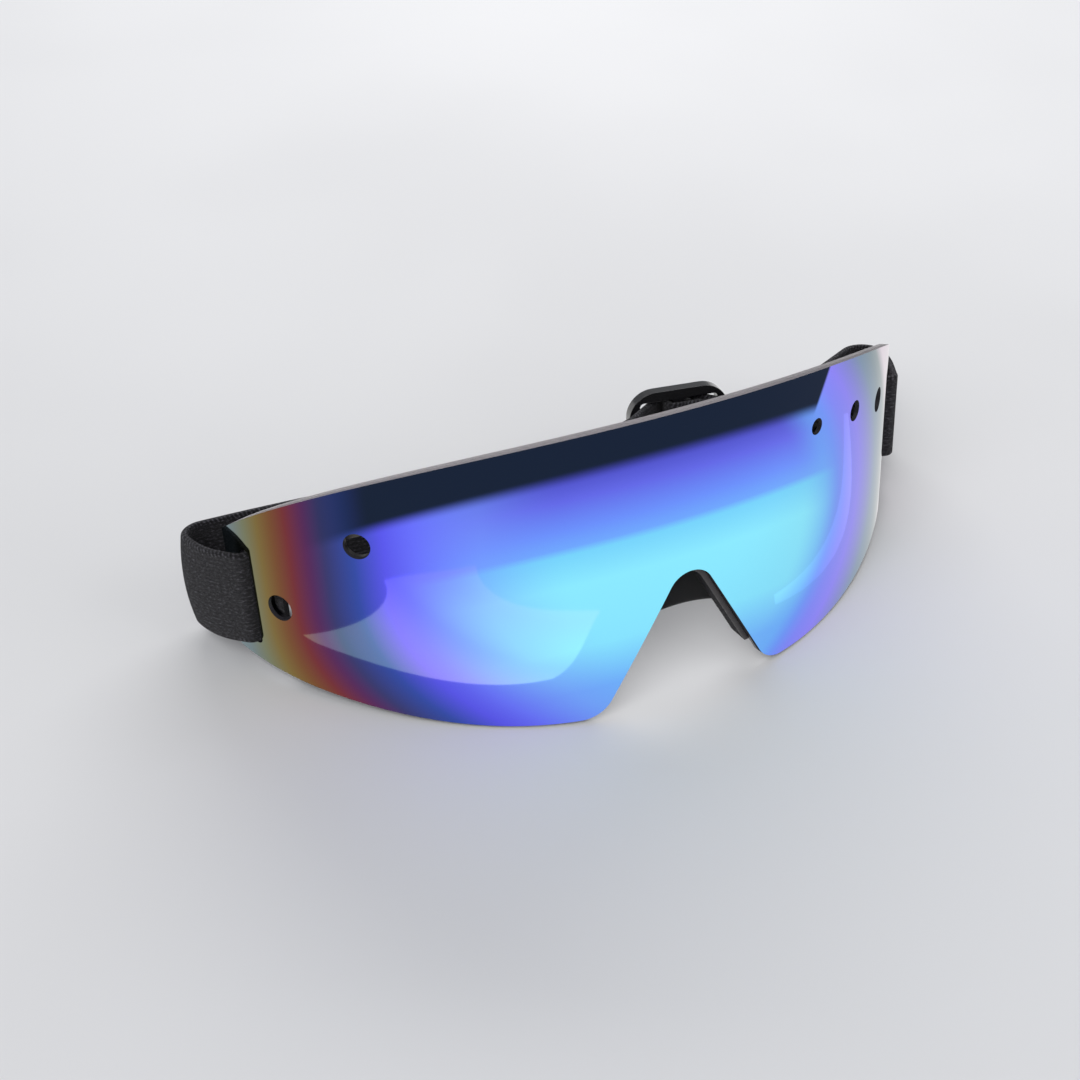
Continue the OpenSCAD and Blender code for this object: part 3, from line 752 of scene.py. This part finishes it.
def strap_piece(name, side, route, nodes, start_at=0.0, step=0.6, crown=0.0):
    route, marks = even_steps(route, step)
    tangent = np.gradient(route, axis=0)
    tangent /= np.linalg.norm(tangent, axis=1)[:, None]
    section, girth = band_section(), band_girth()
    points = [crowned(side, x - off * ty, y + off * tx, z, crown)
              for (x, y), (tx, ty) in zip(route, tangent) for off, z in section]
    n = len(section)
    faces = [(i * n + j, i * n + (j + 1) % n, (i + 1) * n + (j + 1) % n, (i + 1) * n + j)
             for i in range(len(route) - 1) for j in range(n)]
    faces += [tuple(range(n)), tuple(range((len(route) - 1) * n, len(route) * n))[::-1]]
    piece = add_piece(name, points, faces)
    piece.data.set_sharp_from_angle(angle=radians(60))
    weave_map = piece.data.uv_layers.new(name="weave")
    for face in piece.data.polygons:
        ring = [piece.data.loops[k].vertex_index % n for k in face.loop_indices]
        for k, j in zip(face.loop_indices, ring):
            v = piece.data.loops[k].vertex_index
            around = girth[n] if j == 0 and n - 1 in ring else girth[j]
            weave_map.data[k].uv = (start_at + marks[v // n], around)
    finish_piece(piece, "strap", nodes, None, elastic)
    print("It is", round(marks[-1], 1), "mm long")
    return piece

# %% [markdown]
# Woven elastic has rubber threads that run its whole length, each wrapped so that it shows as a
# rib, and finer yarns that cross over and under them. Up close that reads as short dashes along
# the band. The recipe takes faint ribs from a sine across the band and lays noise over them
# that is stretched along it. The two selvedges are corded, so they get a rope's slanting bumps.

# %% Woven elastic
elastic, shader = new_material("woven_elastic", Roughness=0.9, Sheen_Weight=0.1,
                               Sheen_Roughness=0.4, Specular_IOR_Level=0.2)
RIB_PITCH, CORD_PITCH, CORD_W = 0.95, 0.85, 1.75
along, around = surface_axes(shader, "weave")
rib = maths("SINE", times(around, 2 * pi / RIB_PITCH))
stretched = add_node(shader, "CombineXYZ", {"X": times(along, 1.3), "Y": times(around, 2.3)})
dashes = noise(shader, 1.0, 4.0, Vector=stretched.outputs["Vector"], Roughness=0.75)
cord_turn = maths("ADD", times(along, 2 * pi / CORD_PITCH), times(around, 2.4))
on_cord = maths("GREATER_THAN", maths("MODULO", around, band_girth()[-1] / 2), STRAP_W - CORD_W)
cord = times(maths("SINE", cord_turn), on_cord)
height = times(rib, 0.045)
for relief, share in ((dashes, 1.5), (cord, 0.14), (noise(shader, 2600.0, 3.0), 0.7)):
    height = maths("ADD", height, times(relief, share))
shade = ramp(maths("MULTIPLY", height, 0.55, clamp=True),
             [(0.38, colour(10, 9, 11)), (0.6, colour(32, 31, 35)), (0.82, colour(104, 102, 110))])
paint(shader, shade)
emboss(shader, height, 0.8, 0.0003)

# %% [markdown]
# Seen from above, the strap leaves each slot, bends back past the end of the shield, turns a
# round fold and sags a little towards the shield as it crosses the back. On the left it is a
# single layer. On the right it comes back through its slot and runs inside itself, a second
# layer that ends in a loop round the slider's middle bar. The slider hangs a little askew.

# %% The strap's route
LAYER = STRAP_T + 0.1
SLIDER_X, SLIDER_Y, SLIDER_TURN = 30.0, plan_point(LENS_END, 0)[1] + 9.0, radians(12)
SLIDER_W, SLIDER_T, BAR_W, BAR_PITCH = 23.0, 2.6, 2.5, 10.25
BESIDE_BAR, WEAVE_L = SLIDER_T / 2 + CLEAR + STRAP_T / 2, 13.5
LEFT_RUN, RIGHT_RUN = radians(3), radians(26)


def unit(angle):
    return np.array([cos(angle), sin(angle)])


def arc(centre, r, first, last, count=14):
    return [np.array(centre) + r * unit(a) for a in np.linspace(first, last, count)]


def on_slider(u, v):
    """A place on the slider, from its middle: u along the strap, v towards the wearer."""
    middle = np.array([SLIDER_X, SLIDER_Y])
    return middle + u * unit(-SLIDER_TURN) + v * unit(pi / 2 - SLIDER_TURN)


def on_curve(start, start_handle, end_handle, end, t):
    """A place on a smooth curve that two handles pull out of its straight line."""
    k = 1 - t
    return (k**3 * start + 3 * k * k * t * start_handle + 3 * k * t * t * end_handle
            + t**3 * end)


def swept(p0, a0, h0, p1, a1, h1, off=0.0, count=40):
    """A smooth route between two places and headings, drawn a distance to the left of itself."""
    q0, q3 = p0 + 0.4 * unit(a0), p1 - 0.4 * unit(a1)
    q1, q2 = q0 + h0 * unit(a0), q3 - h1 * unit(a1)
    route = [p0 + off * unit(a0 + pi / 2)]
    for t in np.linspace(0, 1, count):
        k = 1 - t
        d = k * k * (q1 - q0) + 2 * k * t * (q2 - q1) + t * t * (q3 - q2)
        route.append(on_curve(q0, q1, q2, q3, t) + off * unit(atan2(d[1], d[0]) + pi / 2))
    return route + [p1 + off * unit(a1 + pi / 2)]


lens_end = np.array(plan_point(LENS_END, 0))
slot_out = np.array(plan_point(SLOT_ANGLE, -1.0))
LEFT_HEAD, RIGHT_HEAD, FOLD_HEAD = (radians(a) for a in (46, 62, 79))
LEFT_FOLD, RIGHT_FOLD, INNER_FOLD, EXIT_R = 3.8, 4.5, 3.0, 1.5
left_centre = lens_end + (6.55 - STRAP_T / 2 - LEFT_FOLD, 10.55 - LEFT_FOLD)
right_centre = lens_end + (7.85 - STRAP_T / 2 - RIGHT_FOLD, 11.75 - RIGHT_FOLD)
left_held = slot_out + 3 * unit(LEFT_HEAD)
exit_centre = np.array(plan_point(SLOT_ANGLE, -2.0)) + EXIT_R * unit(SLOT_ANGLE)
right_held = exit_centre + EXIT_R * unit(RIGHT_HEAD - pi / 2)
fold_centre = {-1: left_centre, 1: right_centre - 4 * unit(RIGHT_HEAD)}
held_at = {-1: left_held, 1: right_held}
run_normal = unit(pi / 2 + RIGHT_RUN)
right_run = right_centre + RIGHT_FOLD * run_normal + 9.5 * unit(pi + RIGHT_RUN)
INNER_ANGLE = LENS_END - radians(2)
inner_start = np.array(plan_point(INNER_ANGLE, STRAP_DEPTH))
inner_side = unit(INNER_ANGLE + pi / 2)
room = (right_run - inner_start - INNER_FOLD * inner_side) @ run_normal - LAYER - INNER_FOLD
inner_leg = room / (unit(INNER_ANGLE) @ run_normal)
inner_top = inner_start + inner_leg * unit(INNER_ANGLE)
inner_centre = inner_top + INNER_FOLD * inner_side


def lens_run(first, last, count=10):
    return [np.array(plan_point(a, STRAP_DEPTH)) for a in np.linspace(first, last, count)]


print("Inner leg", round(float(inner_leg), 2), "mm, folds at",
      [round(float(c[0]), 1) for c in (left_centre, right_centre, inner_centre)])

# %% Stretches held by the shield
BEND, PAST_SLOT = 1.2, SLOT_ANGLE + 0.06
hem_angle = SLOT_ANGLE - HEM_L / (END_R - STRAP_DEPTH)
through_left = soft_corners([left_held, slot_out, plan_point(SLOT_ANGLE, STRAP_DEPTH)], BEND)
hem = strap_piece("left_strap_hem", -1, through_left[:-1] + lens_run(SLOT_ANGLE, hem_angle)[1:],
                  ["left_strap_end"], step=0.4)
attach(hem, "goggle_front")
into_right = arc(exit_centre, EXIT_R, RIGHT_HEAD - pi / 2, SLOT_ANGLE - pi, 10)
through_right = soft_corners([plan_point(SLOT_ANGLE, -1.9), plan_point(SLOT_ANGLE, STRAP_DEPTH),
                              plan_point(PAST_SLOT, STRAP_DEPTH)], BEND)
turn_piece = strap_piece("right_strap_bend", 1, into_right + through_right[1:-1]
                         + lens_run(PAST_SLOT, INNER_ANGLE), ["right_strap_turn"], step=0.4)
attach(turn_piece, "goggle_front")

# %% [markdown]
# The legs at the temples are each made in two halves: a front half next to the shield and a
# rear half towards the back of the strap.

# %% The legs at the temples
def row_point(side, xy):
    return tuple(stand([(side * xy[0], xy[1], STRAP_Z)])[0])


def bending_leg(name, side, route, node, crown=CROWN):
    half = len(route) // 2
    length = sum(math.dist(a, b) for a, b in zip(route[:half], route[1:half + 1]))
    for word, part, bodies in (("front", route[:half + 1], ("goggle_front", "strap_sides")),
                               ("rear", route[half:], ("strap_sides", "strap_back"))):
        piece = strap_piece(name + "_" + word, side, part, [node], step=0.3,
                            start_at=0 if word == "front" else length, crown=crown)
        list(bodies)
        row_point(side, part[0])
        row_point(side, part[-1])
        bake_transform(piece)


def fold_start(centre, r):
    return centre + r * unit(FOLD_HEAD - pi / 2)


def outer_leg(held, heading, centre, fold):
    return swept(held, heading, fold, fold_start(centre, fold), FOLD_HEAD, fold)


bending_leg("left_strap_leg", -1, outer_leg(left_held, LEFT_HEAD, left_centre, LEFT_FOLD),
            "left_side_web")
bending_leg("right_strap_leg", 1, outer_leg(right_held, RIGHT_HEAD, right_centre, RIGHT_FOLD),
            "right_side_web")
bending_leg("right_inner_leg", 1, [inner_start + (inner_top - inner_start) * t
                                   for t in np.linspace(0, 1, 9)], "right_inner_web", crown=0)

# %% Where the left run enters the slider
bar_edge = BAR_PITCH - BAR_W / 2
PASS_SHIFT = 1.7
pass_u = (bar_edge + BAR_W / 2) / 2 + PASS_SHIFT / (2 * sin(pi / 4))
weave_in = (-pass_u - 5.0, -5.0)
left_meet = on_slider(*weave_in) * (-1, 1)
right_meet = on_slider(WEAVE_L, -BESIDE_BAR)
SAG, LEFT_BLEND_X = 14.0, 76
print("The left run meets the slider at", [round(float(v), 1) for v in left_meet])

# %% Stretches across the back
left_top = left_centre + LEFT_FOLD * unit(pi / 2 + LEFT_RUN)


def fold_arc(centre, fold, heading, run):
    return arc(centre, fold, heading - pi / 2, pi / 2 + run)


def right_sweep(off):
    return swept(right_run, pi + RIGHT_RUN, SAG, right_meet, pi - SLIDER_TURN, SAG, off)


left_sweep = swept(left_top + 2 * unit(pi + LEFT_RUN), pi + LEFT_RUN, 2.5 * SAG,
                   left_meet, pi + SLIDER_TURN - pi / 4, SAG)
left_back = strap_piece("left_strap_run", -1, fold_arc(left_centre, LEFT_FOLD, FOLD_HEAD, LEFT_RUN)
                        + left_sweep, ["left_back_web"], crown=CROWN)
right_back = strap_piece(
    "right_strap_run", 1, fold_arc(right_centre, RIGHT_FOLD, FOLD_HEAD, RIGHT_RUN)
    + right_sweep(0), ["right_back_web"], crown=CROWN)
returning = strap_piece(
    "returning_layer", 1, fold_arc(inner_centre, INNER_FOLD, INNER_ANGLE, RIGHT_RUN)
    + right_sweep(LAYER), ["return_web"])
for piece, side, first, last in ((left_back, -1, (LEFT_BLEND_X, left_top[1]), left_meet),
                                 (right_back, 1, right_run, right_meet),
                                 (returning, 1, right_run, right_meet)):
    row_point(side, first)
    row_point(side, last)
    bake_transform(piece)

# %% Stretches in the slider
WEAVE_R, LOOP_R = 1.3, 1.0


def bend_in_slider(u, v, first, last, r):
    return [on_slider(*p)
            for p in ring_points(r, 8, radians(first), radians(last), (u, v))]


rear_v = BESIDE_BAR + LAYER
flat_u = pass_u - rear_v - WEAVE_R * tan(pi / 8)
dip_u = pass_u + BESIDE_BAR + WEAVE_R * tan(pi / 8)
weave = strap_piece("slider_strap_weave", 1,
                    [on_slider(*weave_in)]
                    + bend_in_slider(-flat_u, rear_v - WEAVE_R, 135, 90, WEAVE_R)
                    + bend_in_slider(flat_u, rear_v - WEAVE_R, 90, 45, WEAVE_R)
                    + bend_in_slider(dip_u, WEAVE_R - BESIDE_BAR, 225, 270, WEAVE_R)
                    + [right_meet], ["slider_weave"], step=0.35)
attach(weave, "slider_group")
half_bar, loop_v = BAR_W / 2, BESIDE_BAR - LOOP_R
to_bar = soft_corners(
    [on_slider(WEAVE_L, -BESIDE_BAR - LAYER), on_slider(bar_edge - 0.1, -BESIDE_BAR - LAYER),
     on_slider(half_bar + 2 * STRAP_T, -BESIDE_BAR), on_slider(half_bar, -BESIDE_BAR)], 1.0)
loop = strap_piece("slider_strap_loop", 1,
                   to_bar + bend_in_slider(-half_bar, -loop_v, 270, 180, LOOP_R)
                   + bend_in_slider(-half_bar, loop_v, 180, 90, LOOP_R)
                   + bend_in_slider(half_bar, loop_v, 90, 0, LOOP_R)
                   + [on_slider(half_bar + LOOP_R, -loop_v)], ["slider_loop"], step=0.35)
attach(loop, "slider_group")

# %% [markdown]
# The hem and the slider's loop are closed with rows of stitches. Each stitch is a short arch of
# thread, sunk into the band at both ends, which is what sets a sewn seam apart from a drawn line.

# %% Stitches
UP = np.array([0.0, 0.0, 1.0])
THREAD_R, RINGS, SIDES = 0.2, 9, 8


def add_stitch(points, faces, foot, out):
    """Adds one upright arch of thread. out points away from the cloth."""
    first, side = len(points), np.cross(UP, out)
    for t in np.linspace(0, 1, RINGS):
        spine = foot + UP * (2.0 * t - 1.0) + out * (0.42 * sin(pi * t) - THREAD_R)
        thin = THREAD_R * (0.35 + 0.65 * sin(pi * min(max(t, 0.06), 0.94)))
        points += [tuple(spine + thin * (cos(a) * side + sin(a) * out))
                   for a in np.linspace(0, 2 * pi, SIDES, endpoint=False)]
    for i in range(RINGS - 1):
        a, b = first + i * SIDES, first + (i + 1) * SIDES
        faces += [(a + k, a + (k + 1) % SIDES, b + (k + 1) % SIDES, b + k) for k in range(SIDES)]
    last = first + (RINGS - 1) * SIDES
    faces += [tuple(range(first, first + SIDES)), tuple(range(last, last + SIDES))[::-1]]


def sew(name, rows, node, body):
    points, faces = [], []
    for (x, y), out in rows:
        for i in range(-3, 4):
            add_stitch(points, faces, np.array([x, y, STRAP_Z + 3.0 * i]), np.append(out, 0.0))
    seam = add_piece(name, points, faces)
    finish_piece(seam, "thread", [node], body, thread)


thread, shader = new_material("sewing_thread", Roughness=0.6, Sheen_Weight=0.3)
twist = add_node(shader, "TexWave", {"Scale": 900.0, "Distortion": 1.5}).outputs["Fac"]
paint(shader, ramp(twist, [(0.2, colour(44, 44, 49)), (0.8, colour(82, 82, 90))]))
ROW_GAP, ON_CLOTH = 0.9, STRAP_T / 2
hem_rows = []
for row in (1, 3):
    angle = hem_angle + row * ROW_GAP / END_R
    x, y = plan_point(angle, STRAP_DEPTH + ON_CLOTH)
    hem_rows.append(((-x, y), (sin(angle), cos(angle))))
sew("hem_seam", hem_rows, "left_hem_stitches", "goggle_front")
loop_rows = [(on_slider(half_bar + 1.2 + row * ROW_GAP, -BESIDE_BAR - ON_CLOTH),
              -unit(pi / 2 - SLIDER_TURN)) for row in (-1, 0)]
sew("loop_seam", loop_rows, "slider_stitches", "slider_group")

# %% [markdown]
# The slider is a flat moulding with two tall openings and a bar between them. Its outline is
# drawn once, filled with triangles, given its thickness, and then every long edge is rounded.
# That round is what carries the bright line along the top rail in the photograph.

# %% Slider outline
def rounded_box(w, h, r, count):
    """An upright box with round corners, count points to each."""
    out = []
    for cx, cz, first in ((1, 1, 0), (-1, 1, 90), (-1, -1, 180), (1, -1, 270)):
        out += ring_points(r, count, radians(first), radians(first + 90),
                           (cx * (w / 2 - r), cz * (h / 2 - r)))
    return out


OPEN_W, OPEN_H = BAR_PITCH - BAR_W, STRAP_W + 1.0
SLIDER_H = STRAP_W + 5.4
bm = bmesh.new()
edges = []
opening = rounded_box(OPEN_W, OPEN_H, 0.9, 6)
for outline, offset in ((rounded_box(SLIDER_W, SLIDER_H, 6.0, 13), 0),
                        (opening, -BAR_PITCH / 2), (opening, BAR_PITCH / 2)):
    ring = [bm.verts.new((x + offset, 0, z)) for x, z in outline]
    edges += [bm.edges.new((a, b)) for a, b in zip(ring, ring[1:] + ring[:1])]
bmesh.ops.triangle_fill(bm, edges=edges, use_beauty=True)
bmesh.ops.dissolve_limit(bm, angle_limit=0.01, verts=bm.verts, edges=bm.edges)
made = bmesh.ops.extrude_face_region(bm, geom=list(bm.faces))
for v in (g for g in made["geom"] if isinstance(g, bmesh.types.BMVert)):
    v.co.y += SLIDER_T
bmesh.ops.recalc_face_normals(bm, faces=bm.faces)
placed = stand([(*on_slider(v.co.x, v.co.y - SLIDER_T / 2), STRAP_Z + v.co.z) for v in bm.verts])
for v, co in zip(bm.verts, placed):
    v.co = co
mesh = bpy.data.meshes.new("three_bar_slider")
bm.to_mesh(mesh)
bm.free()
buckle = add_object("three_bar_slider", mesh)
add_bevel(buckle, "moulded edge", 0.0008, 5, 40).harden_normals = True
mesh.shade_smooth()
bake_modifiers(buckle)
print("Slider stands", round(SLIDER_H, 1), "mm tall")

# %% Glossy moulded plastic
moulded, shader = new_material("glossy_moulding", Roughness=0.16, Coat_Weight=0.5,
                               Coat_Roughness=0.06)
flow = noise(shader, 180.0, 5.0)
paint(shader, ramp(flow, [(0.3, colour(20, 20, 22)), (0.7, colour(31, 30, 33))]))
emboss(shader, flow, 0.06, 0.0003)
finish_piece(buckle, "slider", ["slider"], "slider_group", moulded)

# %% [markdown]
# The goggles stand on a plain pale floor. Two large soft lights and a pale surround light the
# cloth and the foam, and a strip light above draws the bright line on the slider.

# %% Floor and light
floor = add_object("floor", new_mesh("floor", [(-3, -3, 0), (3, -3, 0), (3, 3, 0), (-3, 3, 0)],
                                     [(0, 1, 2, 3)]))
floor.location.z = -0.0001
paper, shader = new_material("pale_paper", Roughness=0.9, Specular_IOR_Level=0.0)
paint(shader, drift(shader, 40.0, 2.0, (0.74, 0.74, 0.75, 1), (0.78, 0.78, 0.79, 1)))
floor.data.materials.append(paper)


def soft_light(name, place, aim, size, power):
    data = bpy.data.lights.new(name, "AREA")
    data.shape, data.size, data.size_y, data.energy = "RECTANGLE", size[0], size[1], power
    light = add_object(name, data)
    light.location = place
    light.visible_camera = False
    light.rotation_euler = (Vector(aim) - Vector(place)).to_track_quat("-Z", "Y").to_euler()


soft_light("key", (-0.5, -0.35, 0.75), (0, 0, 0.03), (0.6, 0.6), 3.6)
soft_light("fill", (0.6, -0.5, 0.6), (0, 0, 0.03), (0.6, 0.6), 1.6)
soft_light("strip", (0.24, 0.45, 0.4), (0, 0, 0.05), (0.7, 0.16), 2.2)
world = bpy.data.worlds.new("surround")
bpy.context.scene.world = world
world.use_nodes = True
surround = world.node_tree.nodes["Background"]
surround.inputs["Color"].default_value = (0.82, 0.84, 0.88, 1)
surround.inputs["Strength"].default_value = 0.4
bpy.context.scene.view_settings.view_transform = "Standard"

# %% [markdown]
# A mirror shows whatever lies in front of it, so, as in any product studio, cards are laid out
# for it: a large bright one, and two small ones whose outlines make the soft patch on one lobe
# and the thin streak on the other. Their sides are curves between a few corners, in millimetres
# on the floor, placed so that their reflections fall where the photograph shows them. A card's
# tone may change from its back to its front. Only reflections see the cards.

# %% Cards for the mirror to show
TONES_BACK = 100.0
ON_FLOOR, ON_CARD = 0.0002, 0.0004


def curved_outline(*sides):
    """Points round an outline. Each side is its first corner and the two handles of its curve."""
    corners = [side[0] for side in sides[1:] + sides[:1]]
    return [tuple(on_curve(*np.array([*side, corner], dtype=float), t))
            for side, corner in zip(sides, corners) for t in np.linspace(0, 1, 12)[:-1]]


def mirror_card(name, outline, height, glow, *tones):
    """A glowing card on the floor. Each tone is a distance along Y and its light."""
    points = [(x / 1000, y / 1000, height) for x, y in outline]
    card = add_object(name, new_mesh(name, points, [range(len(outline))]))
    bright = bpy.data.materials.new(name)
    bright.use_nodes = True
    bright.node_tree.nodes.clear()
    spot = bright.node_tree.nodes.new("ShaderNodeTexCoord")
    axes = add_node(spot, "SeparateXYZ", {"Vector": spot.outputs["Object"]})
    run = add_node(spot, "MapRange", {"Value": axes.outputs["Y"],
                                      "From Min": -TONES_BACK / 1000, "From Max": 0.0})
    tone = ramp(run.outputs["Result"], [(1 + y / TONES_BACK, (*shade, 1)) for y, *shade in tones])
    light = add_node(spot, "Emission", {"Color": tone, "Strength": glow})
    add_node(spot, "OutputMaterial", {"Surface": light.outputs["Emission"]})
    card.data.materials.append(bright)
    for ray in ("camera", "diffuse", "transmission", "volume_scatter", "shadow"):
        setattr(card, "visible_" + ray, False)


wide = [(-700, -700), (700, -700), (700, 500), (-700, 500)]
mirror_card("wide_card", wide, ON_FLOOR, 1.02, (-90, 1.0, 1.0, 1.0), (0, 0.84, 0.84, 0.84))
patch = curved_outline(
    ((-90, -4), (-93, -18), (-94, -50)), ((-109, -53), (-108, -71), (-96, -91)),
    ((-86, -105), (-70, -80), (-38, -99)), ((-15, -94), (-23, -82), (-25, -61)),
    ((-33, -52), (-54, -38), (-77, -29)))
mirror_card("patch_card", patch, ON_CARD, 3.8, (-90, 0.34, 0.28, 0.37), (-60, 0.36, 0.35, 0.38),
            (-28, 0.76, 0.68, 0.3), (-8, 0.36, 0.9, 0.5))
streak = curved_outline(
    ((134, -22), (93, -18), (78, -20)), ((46, -46), (45, -45), (43, -44)),
    ((42, -43), (66, -12), (95, -9)), ((132, -17), (133, -19), (133, -20)))
mirror_card("streak_card", streak, ON_CARD, 1.12, (-46, 0.98, 0.98, 0.98),
            (-36, 0.91, 0.91, 0.91), (-22, 0.92, 0.92, 0.92), (-13, 1.0, 1.0, 1.0))
